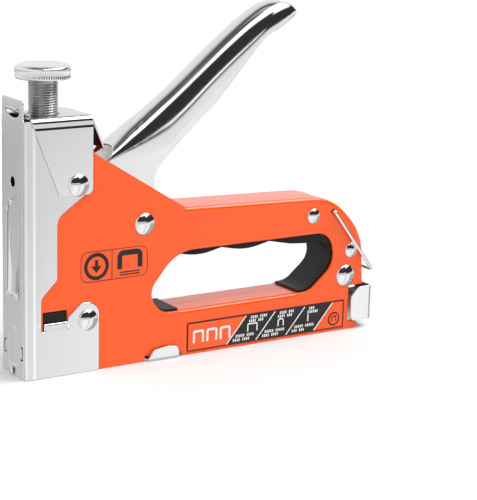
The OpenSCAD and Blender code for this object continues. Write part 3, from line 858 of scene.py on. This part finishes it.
def bracket():
    def across(z):
        return CAP_SIDE + BRACKET_Z - CAP_BEND - z

    flap_end = FLAP_X + FLAP_BEND * FLAP_DROP + 14.0
    half = [(flap_end, FLAP_HALF, 1.2), (30.1, FLAP_HALF, 0.3), (30.0, FLAP_NECK, 0), (28.9, FLAP_NECK, 0.1),
            (28.9, CAP_FLAT + 0.4, 0.1), (29.6, CAP_FLAT + 0.5, 0.2), (29.6, across(73.5), 2.5),
            (15, across(73.5), 1.5), (3.3, across(102.6), 0.8), (2.6, CAP_FLAT + 0.3, 0.8),
            (1.6, CAP_FLAT - 1.2, 0.6), (1.6, 6.4, 0.3), (4.4, 6.0, 0.5)]
    outline = rounded([(x, -s, r) for x, s, r in reversed(half)] + half)
    cut = edge_profile(CAP_T, 0.38)
    bore = circle(SCREW_X, 0, THREAD_R + 0.4, 40)
    bm = sheet([(outline, lambda p: cut), (bore, lambda p: cut)], CAP_T)
    steps = 8
    bends = [CAP_FLAT + (CAP_SIDE - CAP_FLAT) * k / steps for k in range(steps + 1)]
    cut_lines(bm, 1, [side * s for s in bends for side in (-1, 1)])
    cut_lines(bm, 1, [side * across(CAP_STEP_Z + CAP_STEP_H * k / 8) for k in range(9) for side in (-1, 1)])
    cut_lines(bm, 0, [FLAP_X + FLAP_BEND * FLAP_DROP * k / steps for k in range(steps + 1)])
    # Faces on the inner side of the rear flap take the second material, the painted shade.
    for face in bm.faces:
        middle = face.calc_center_median()
        face.material_index = int(middle.x > FLAP_X and middle.z > CAP_T - 0.01)
    map_verts(bm, cap_place)
    whole = finish_mesh("bracket", join(bm, bracket_hook()))
    dress(whole, CAP_CHROME_SHADED, "frame", "chrome_plate", "top_bracket")
    whole.data.materials.append(CAP_INSIDE_SHADE)


bracket()


# ---- rivets
def rivet(x, z, head_r, head_h, half, shank_r):
    """A shank through both sheets with a domed head on each side."""
    rim = 0.28
    sphere = (head_r ** 2 + (head_h - rim) ** 2) / (2 * (head_h - rim))
    top = math.asin(head_r / sphere)
    dome = [(sphere * math.sin(top * (1 - k / 10)), rim + sphere * math.cos(top * (1 - k / 10)) - sphere
             + head_h - rim) for k in range(11)]
    head = [(head_r - 0.08, half), (head_r, half + 0.1)] + [(r, half + h) for r, h in dome]
    head[-1] = (0, half + head_h)
    profile = [(r, -h) for r, h in reversed(head)] + [(shank_r, -half + 0.02), (shank_r, half - 0.02)] + head
    bm = revolve(profile, 48)
    map_verts(bm, lambda co: Vector((x + co.x, co.z, z + co.y)))
    return bm


RIVETS = {
    "bracket_rivet": [(23, 77.6, 4.5, 1.8, BRACKET_HALF, 2.2)],
    "pivot_rivet": [(54, 58.5, 4.65, 1.9, SHELL_HALF, 3.0)],
    "nose_rivet": [(27.8, 21.8, 4.4, 1.8, NOSE_HALF, 2.2)],
    "frame_rivets": [(137.6, 53.3, 3.3, 1.4, SHELL_HALF, 1.8), (158.3, 36, 3.3, 1.4, SHELL_HALF, 1.8)],
    "magazine_rivet": [(155.8, 24.8, 4.9, 2.0, SHELL_HALF, 2.4)],
}
for rivet_node, places in RIVETS.items():
    heads = join(*[rivet(*place) for place in places])
    dress(finish_mesh(rivet_node + "_heads", heads, 60), CHROME, "frame", "chrome_plate", rivet_node)


# ---- grip liner and lock wire
def liner():
    half = mm_box("grip_liner")[1].y
    bm = plain_sheet(rounded(LINER), 2 * half, 0.4)
    map_verts(bm, side_place(-1, half))
    dress(finish_mesh("liner", bm, 40), BLACK, "frame", "black_plastic", "grip_liner")


liner()


def lock_wire():
    bend = 1.6
    hook_y, spread = 7.6, 3.65
    reach = (WIRE_BAR - WIRE_EYE).normalized()
    length = (WIRE_BAR - WIRE_EYE).length
    flat = rounded([(0, 0, 0), (0, spread, 1.2), (length, spread, bend), (length, 0, 0)], math.radians(9))
    near = [p for p in flat if p.x < length - 1e-6 or p.y > 1e-6]
    half = [Vector((WIRE_EYE.x + reach.x * p.x, hook_y + p.y, WIRE_EYE.y + reach.y * p.x)) for p in near]
    back = [Vector((p.x, -p.y, p.z)) for p in reversed(half)]
    dress(finish_mesh("wire", tube(half + back, WIRE_R), 60), CHROME, "bail", "chrome_plate", "lock_wire")


lock_wire()


# ---- magazine pull and clip
def pull():
    half = NOSE_HALF
    path = open_path([(158.4, -half, 0), (169.3, -half, 1.6), (169.3, half, 1.6), (158.4, half, 0)])
    run = path_length(path)
    low, high = 3.6, 19.0
    outline = rounded([(0.02, low, 3), (run - 0.02, low, 3), (run - 0.02, 15.4, 4.5), (run - 3.8, high, 4.5),
                       (3.8, high, 4.5), (0.02, 15.4, 4.5)])
    bm = plain_sheet(outline, 0.9, 0.28)
    fold(bm, path, lambda p, v: Vector((p.x, p.y, v)))
    dress(finish_mesh("pull", bm), CHROME, "drawer", "chrome_plate", "pull_grip")


def clip():
    # The path runs along the sheet's outer face, so that the sheet lies above the base plane
    half, top, bend = 11.65, 5.4, 1.7
    path = open_path([(half, top, 0), (half, 0.02, bend), (-half, 0.02, bend), (-half, top, 0)])
    run = path_length(path)
    ear = [(69.9, top, 0), (69.9, 2.4, 0.6), (69.2, 0.6, 0.6), (65, 0.02, 0.6), (58.4, 1.0, 1.6),
           (56.2, 4.4, 0.4), (56.2, top, 0)]
    far_ear = [(x, run - u, r) for x, u, r in reversed(ear)]
    outline = rounded([(u, x, r) for x, u, r in reversed(ear + far_ear)])
    bm = plain_sheet(outline, 0.8, 0.25)
    fold(bm, path, lambda p, v: Vector((v, p.x, p.y)))
    dress(finish_mesh("clip", bm), CHROME, "frame", "chrome_plate", "magazine_clip")


pull()
clip()


# ---- springs
def coil_path(start, end, radius, turns):
    """Points of a coil about the local Z axis."""
    per_turn = 20
    count = turns * per_turn
    return [Vector((radius * math.cos(TAU * k / per_turn), radius * math.sin(TAU * k / per_turn),
                    start + (end - start) * k / count)) for k in range(count + 1)]


def coil(start, end, radius, wire, turns):
    return tube(coil_path(start, end, radius, turns), wire, 8)


def coil_piece(name, bm, body, nodes):
    """A coil of spring steel on its body, with a mesh of its own; the CAD nodes it replaces are hidden."""
    piece = finish_mesh(name, bm, 60)
    dress(piece, SPRING, body, "spring_steel", *nodes)
    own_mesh(piece)


def springs():
    low, high = mm_box("main_spring")
    lift, press = 16.04, 6
    coil_r, wire_r = 5.8, 1
    waist = high.z - 2 * press
    below = coil(low.z + wire_r, waist, coil_r, wire_r, 6)
    above = coil(waist, high.z - wire_r, coil_r, wire_r, 3)
    for bm in (below, above):
        map_verts(bm, lambda co: Vector((SCREW_X + co.x, co.y, co.z)))
    coil_piece("main_coil", below, "frame", ["main_spring"])
    coil_piece("main_coil_top", above, "frame", [])
    low, high = mm_box("pusher_spring")
    rod_z = (low.z + high.z) / 2
    wire_r = 0.35
    follow = coil(low.x + wire_r, high.x - wire_r, 2.25, wire_r, 44)
    map_verts(follow, lambda co: Vector((co.z, co.y, rod_z + co.x)))
    coil_piece("pusher_coil", follow, "drawer", ["pusher_spring"])
    radius, half = 4.1, 4.4
    leg = [Vector((radius - 0.1 * k, 3 * k, half)) for k in range(1, 6)]
    back = tube(coil_path(-half, half, radius, 5) + leg, 0.6, 8)
    map_verts(back, lambda co: Vector((PIVOT.x + co.x, -co.z, PIVOT.y + co.y)))
    dress(finish_mesh("return_coil", back, 60), SPRING, "lever", "spring_steel", "lever_return_spring")


springs()


# ---- side labels
PRINT_DEPTH = 0.06


def print_patch(points, side, level, face=LABEL_FACE, holes=()):
    """A thin printed area; level 1 lies on the face and level 2 on other print."""
    bm = plain_sheet(points, PRINT_DEPTH, 0.01, holes)
    map_verts(bm, side_place(side, face + level * PRINT_DEPTH))
    return bm


def bar(x1, z1, x2, z2, width):
    """A straight stroke between two points."""
    a, b = Vector((x1, z1)), Vector((x2, z2))
    across = Vector((a.y - b.y, b.x - a.x)).normalized() * width / 2
    return [a - across, b - across, b + across, a + across]


def stroke(path, width):
    """A stroke of even width along an open path."""
    left = []
    right = []
    for k, p in enumerate(path):
        into = (p - path[k - 1]).normalized() if k else (path[1] - p).normalized()
        out = (path[k + 1] - p).normalized() if k < len(path) - 1 else into
        side = (Vector((-into.y, into.x)) + Vector((-out.y, out.x))).normalized()
        side = side / max(0.5, side.dot(Vector((-out.y, out.x)))) * width / 2
        left.append(p + side)
        right.append(p - side)
    return right + left[::-1]


def staple_icon(x, z, width, height, radius, line):
    """An upside-down U, like a staple seen from the front."""
    legs = [(x - width / 2, z, 0), (x - width / 2, z + height, radius), (x + width / 2, z + height, radius),
            (x + width / 2, z, 0)]
    return stroke(open_path(legs), line)


def print_row(x, z, width):
    """A row of short leaning strokes, which stands for a line of small print."""
    pitch = 0.95
    height = 1.25
    count = round(width / pitch)
    space = count // 2 if count > 6 else -1
    return [bar(x + k * pitch, z, x + k * pitch + 0.2, z + height, 0.55) for k in range(count) if k != space]


def label(side, name, node):
    x0, x1, z0, z1 = LABEL_LOW.x, LABEL_HIGH.x, LABEL_LOW.z, LABEL_HIGH.z
    plate = plain_sheet(rectangle(x0, z0, x1, z1, 0.5), 0.3, 0.05)
    map_verts(plate, side_place(side, LABEL_FACE))
    dress(finish_mesh(name + "_plate", plate), PRINT_BLACK, "frame", "label_print", node)

    edge = 0.5
    lean = 9.7
    low, high = z0 + edge, z1 - edge

    def slanted(x, z):
        return x + lean * (z - low) / (high - low)

    first, last = 94.6, 139.8
    orange = [[(x0 + edge, low), (first, low), (slanted(first, high), high), (x0 + edge, high)],
              [(last, low), (x1 - edge, low), (x1 - edge, high), (slanted(last, high), high)]]
    patches = [print_patch([Vector(p) for p in area], side, 1) for area in orange]
    dress(finish_mesh(name + "_orange", join(*patches)), ORANGE, "frame", "label_print")

    starts = (first, 109.5, 125.0)
    white = [bar(x, low, slanted(x, high), high, 0.5) for x in (*starts, last)]
    white += [staple_icon(starts[0] + 13, 5.9, 4.7, 3.4, 0.5, 0.6),
              staple_icon(starts[1] + 12.7, 6.2, 2.7, 3.2, 1.35, 0.6), bar(136.5, 6.3, 136.5, 9.6, 0.6)]
    rows = ((12.3, 11.5), (11.4, 9.9), (4.7, 4.0), (3.4, 2.3))
    widths = ((8.2, 7.8, 9.4, 8.8), (7.4, 8.0, 10.0, 8.8), (3.2, 5.8, 10.0, 7.0))
    for x, row_widths in zip(starts, widths):
        for (start, z), width in zip(rows, row_widths):
            white += print_row(x + start, z, width)
    white += [staple_icon(x, 4.6, 4.4, 5.0, 0.6, 1.0) for x in (80.6, 87.2, 93.8)]
    patches = [print_patch(shape, side, 2) for shape in white]
    dress(finish_mesh(name + "_white", join(*patches)), PRINT_WHITE, "frame", "label_print")

    # A small sign in three layers of print: a dark disc, an orange one and a staple
    centre = Vector((150.4, 5.6))
    layers = (("_dark", circle(*centre, 3.1), PRINT_BLACK), ("_icon_disc", circle(*centre, 2.4), ORANGE),
              ("_icon", staple_icon(centre.x, 4.6, 2.2, 2.2, 0.3, 0.5), PRINT_BLACK))
    for level, (ending, shape, material) in enumerate(layers, start=2):
        dress(finish_mesh(name + ending, print_patch(shape, side, level)), material, "frame", "label_print")


label(-1, "left_label", "left_label")
label(1, "right_label", "right_label")


def frame_print(side, name):
    """Plain printed signs ahead of the window: a ring with an arrow and a staple, in a thin rounded frame."""
    x0, x1, z0, z1 = 24.8, 55.5, 37.1, 49.7
    divide = 39.0
    line = 0.22
    corner = 3.2

    def box(inset):
        return rectangle(x0 + inset, z0 + inset, x1 - inset, z1 - inset, corner - inset)

    def place(co):
        return Vector((co.x, side * (SHELL_HALF + PRINT_DEPTH + swell_rise(co.x) - co.z), co.y))

    centre = ((x0 + divide) / 2, (z0 + z1) / 2)
    ring_r = 5.6
    arrow = [Vector((centre[0] + x, centre[1] + z)) for x, z in
             ((0, -2.6), (2.3, 0.1), (0.7, 0.1), (0.7, 2.6), (-0.7, 2.6), (-0.7, 0.1), (-2.3, 0.1))]
    middle = (divide + x1) / 2
    shapes = [(box(0), [box(line)]), (bar(divide, z0 + line / 2, divide, z1 - line / 2, line), []),
              (circle(*centre, ring_r), [circle(*centre, ring_r - 1.5)]), (arrow, []),
              (staple_icon(middle, z0 + 3.9, 9.4, 6.6, 1.6, 2.2), [])]
    shapes += [(bar(middle - 4.6, z, middle + 4.6, z, 0.5), []) for z in (z0 + 1.4, z0 + 2.5)]
    patches = []
    for outline, holes in shapes:
        patch = plain_sheet(outline, PRINT_DEPTH, 0.01, holes)
        cut_lines(patch, 0, [30 + 2.2 * k for k in range(11)])
        map_verts(patch, place)
        patches.append(patch)
    dress(finish_mesh(name, join(*patches)), PRINT_BLACK, "frame", "label_print")


frame_print(-1, "left_print")
frame_print(1, "right_print")


# ---- CAD nodes that stay, with their materials
KEPT = {
    "bracket_nut": ZINC, "spring_seat": ZINC, "plunger": ZINC, "striker_blade": SPRING, "bumper": RUBBER,
    "striker_guide": ZINC, "lift_arm": ZINC, "lift_arm_pin": ZINC, "magazine_channel": ZINC,
    "staple_rail": ZINC, "guide_rod": SPRING, "pusher": ZINC,
}
for node_name, material in KEPT.items():
    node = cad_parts[node_name]
    node.data.materials.clear()
    node.data.materials.append(material)


# ---- stage, light and camera
def white_floor():
    """A wide matt floor just under the base plane; polished metal doesn't mirror it."""
    reach = 6.0
    mesh = bpy.data.meshes.new("floor")
    corners = [(-reach, -reach, 0), (reach, -reach, 0), (reach, reach, 0), (-reach, reach, 0)]
    mesh.from_pydata(corners, [], [(0, 1, 2, 3)])
    floor = add_object("floor", mesh)
    floor.location.z = -0.0001
    material, _, _, shader = new_material("floor_white")
    shader.inputs["Base Color"].default_value = (0.91, 0.91, 0.91, 1)
    shader.inputs["Roughness"].default_value = 0.9
    mesh.materials.append(material)
    floor.visible_glossy = False


white_floor()


def studio_world():
    """A soft white room. Polished metal shows it as bands: a dark gap level with the camera, a thin
    strip light in it, a wide softbox overhead and pale walls behind."""
    world = bpy.data.worlds.new("studio")
    bpy.context.scene.world = world
    world.use_nodes = True
    nodes = world.node_tree.nodes
    links = world.node_tree.links
    background = nodes["Background"]
    coords = nodes.new("ShaderNodeTexCoord")
    split = nodes.new("ShaderNodeSeparateXYZ")
    links.new(coords.outputs["Generated"], split.inputs["Vector"])
    x, y, z = (split.outputs[axis] for axis in "XYZ")

    def math_node(operation, first, second):
        node = nodes.new("ShaderNodeMath")
        node.operation = operation
        for socket, value in zip(node.inputs, (first, second)):
            if isinstance(value, float):
                socket.default_value = value
            else:
                links.new(value, socket)
        return node.outputs[0]

    def rise(value, low, high):
        node = nodes.new("ShaderNodeMapRange")
        node.inputs["From Min"].default_value = low
        node.inputs["From Max"].default_value = high
        links.new(value, node.inputs["Value"])
        return node.outputs["Result"]

    def band(value, stops):
        """Brightness along value, which runs from -1 to 1, through (value, brightness) stops."""
        node = nodes.new("ShaderNodeValToRGB")
        elements = node.color_ramp.elements
        elements.remove(elements[1])
        for k, (position, level) in enumerate(stops):
            element = elements[0] if k == 0 else elements.new(0.5 + position / 2)
            element.position = 0.5 + position / 2
            element.color = (*grey(level), 1)
        links.new(rise(value, -1, 1), node.inputs["Fac"])
        return node.outputs["Color"]

    def blend(factor, first, second):
        node = nodes.new("ShaderNodeMix")
        node.data_type = "RGBA"
        links.new(factor, node.inputs[0])
        links.new(first, node.inputs[6])
        links.new(second, node.inputs[7])
        return node.outputs[2]

    around = math_node("DIVIDE", math_node("ARCTAN2", x, math_node("MULTIPLY", y, -1.0)), math.pi)
    low = band(around, [(-1, 0.28), (-0.90, 0.42), (-0.84, 0.66), (-0.79, 0.68), (-0.75, 0.95), (-0.68, 0.95),
                        (-0.64, 0.25), (-0.58, 0.25), (-0.5, 0.72), (-0.3, 0.78),
                        (-0.12, 0.92), (-0.07, 1.06), (0.05, 1.06), (0.09, 0.82), (0.14, 0.80), (0.17, 1.0),
                        (0.27, 1.0), (0.32, 0.45), (0.56, 0.45), (0.64, 0.7), (0.8, 0.7), (0.9, 0.28),
                        (1, 0.28)])
    gap = [(-0.2, 0.9), (-0.02, 0.85), (0.03, 0.03)]
    strip = [(0.05, 0.03), (0.065, 1.2), (0.11, 1.2), (0.125, 0.03)]
    softbox = [(0.63, 0.03), (0.69, 1.3), (0.76, 2.5), (1, 2.5)]
    lamp = [(0.48, 0.03), (0.56, 1.3), (0.66, 2.5), (0.72, 8), (0.86, 8), (0.9, 2.5), (1, 2.5)]
    near = blend(rise(x, 0.36, 0.42), band(z, gap + strip + softbox), band(z, gap + lamp))
    far = band(z, [(-0.2, 0.78), (0.24, 0.9), (0.58, 0.84), (0.76, 0.66), (0.86, 0.26), (0.92, 0.1),
                   (0.96, 0.1), (1, 0.5)])
    backwards = math_node("SUBTRACT", y, math_node("MULTIPLY", x, 0.8))
    high = blend(rise(backwards, -0.42, -0.24), near, far)
    links.new(blend(rise(z, -0.18, -0.14), low, high), background.inputs["Color"])


def sun(name, towards, strength, spread):
    """A far, soft light from the direction given, which stays out of mirror reflections."""
    light = bpy.data.lights.new(name, "SUN")
    light.energy = strength
    light.angle = math.radians(spread)
    obj = add_object(name, light)
    obj.rotation_euler = Vector(towards).to_track_quat("Z", "Y").to_euler()
    obj.visible_glossy = False


studio_world()
sun("key", (-0.5, -1.3, 0.9), 0.62, 30)


def camera():
    data = bpy.data.cameras.new("camera")
    data.sensor_fit = "AUTO"
    data.sensor_width = 36
    data.lens = 123.7
    obj = add_object("camera", data)
    yaw, pitch, roll = math.radians(32.867), math.radians(14.0), math.radians(1.53)
    forward = Vector((math.sin(yaw) * math.cos(pitch), math.cos(yaw) * math.cos(pitch), -math.sin(pitch)))
    level = Vector((math.cos(yaw), -math.sin(yaw), 0))
    up = level.cross(forward)
    right = math.cos(roll) * level + math.sin(roll) * up
    up = right.cross(forward)
    turn = Matrix((right, up, -forward)).transposed()
    obj.matrix_world = Matrix.Translation(Vector((-281.5, -599.6, 217.6)) * MM) @ turn.to_4x4()
    bpy.context.scene.camera = obj


camera()
bpy.context.scene.view_settings.view_transform = "Standard"
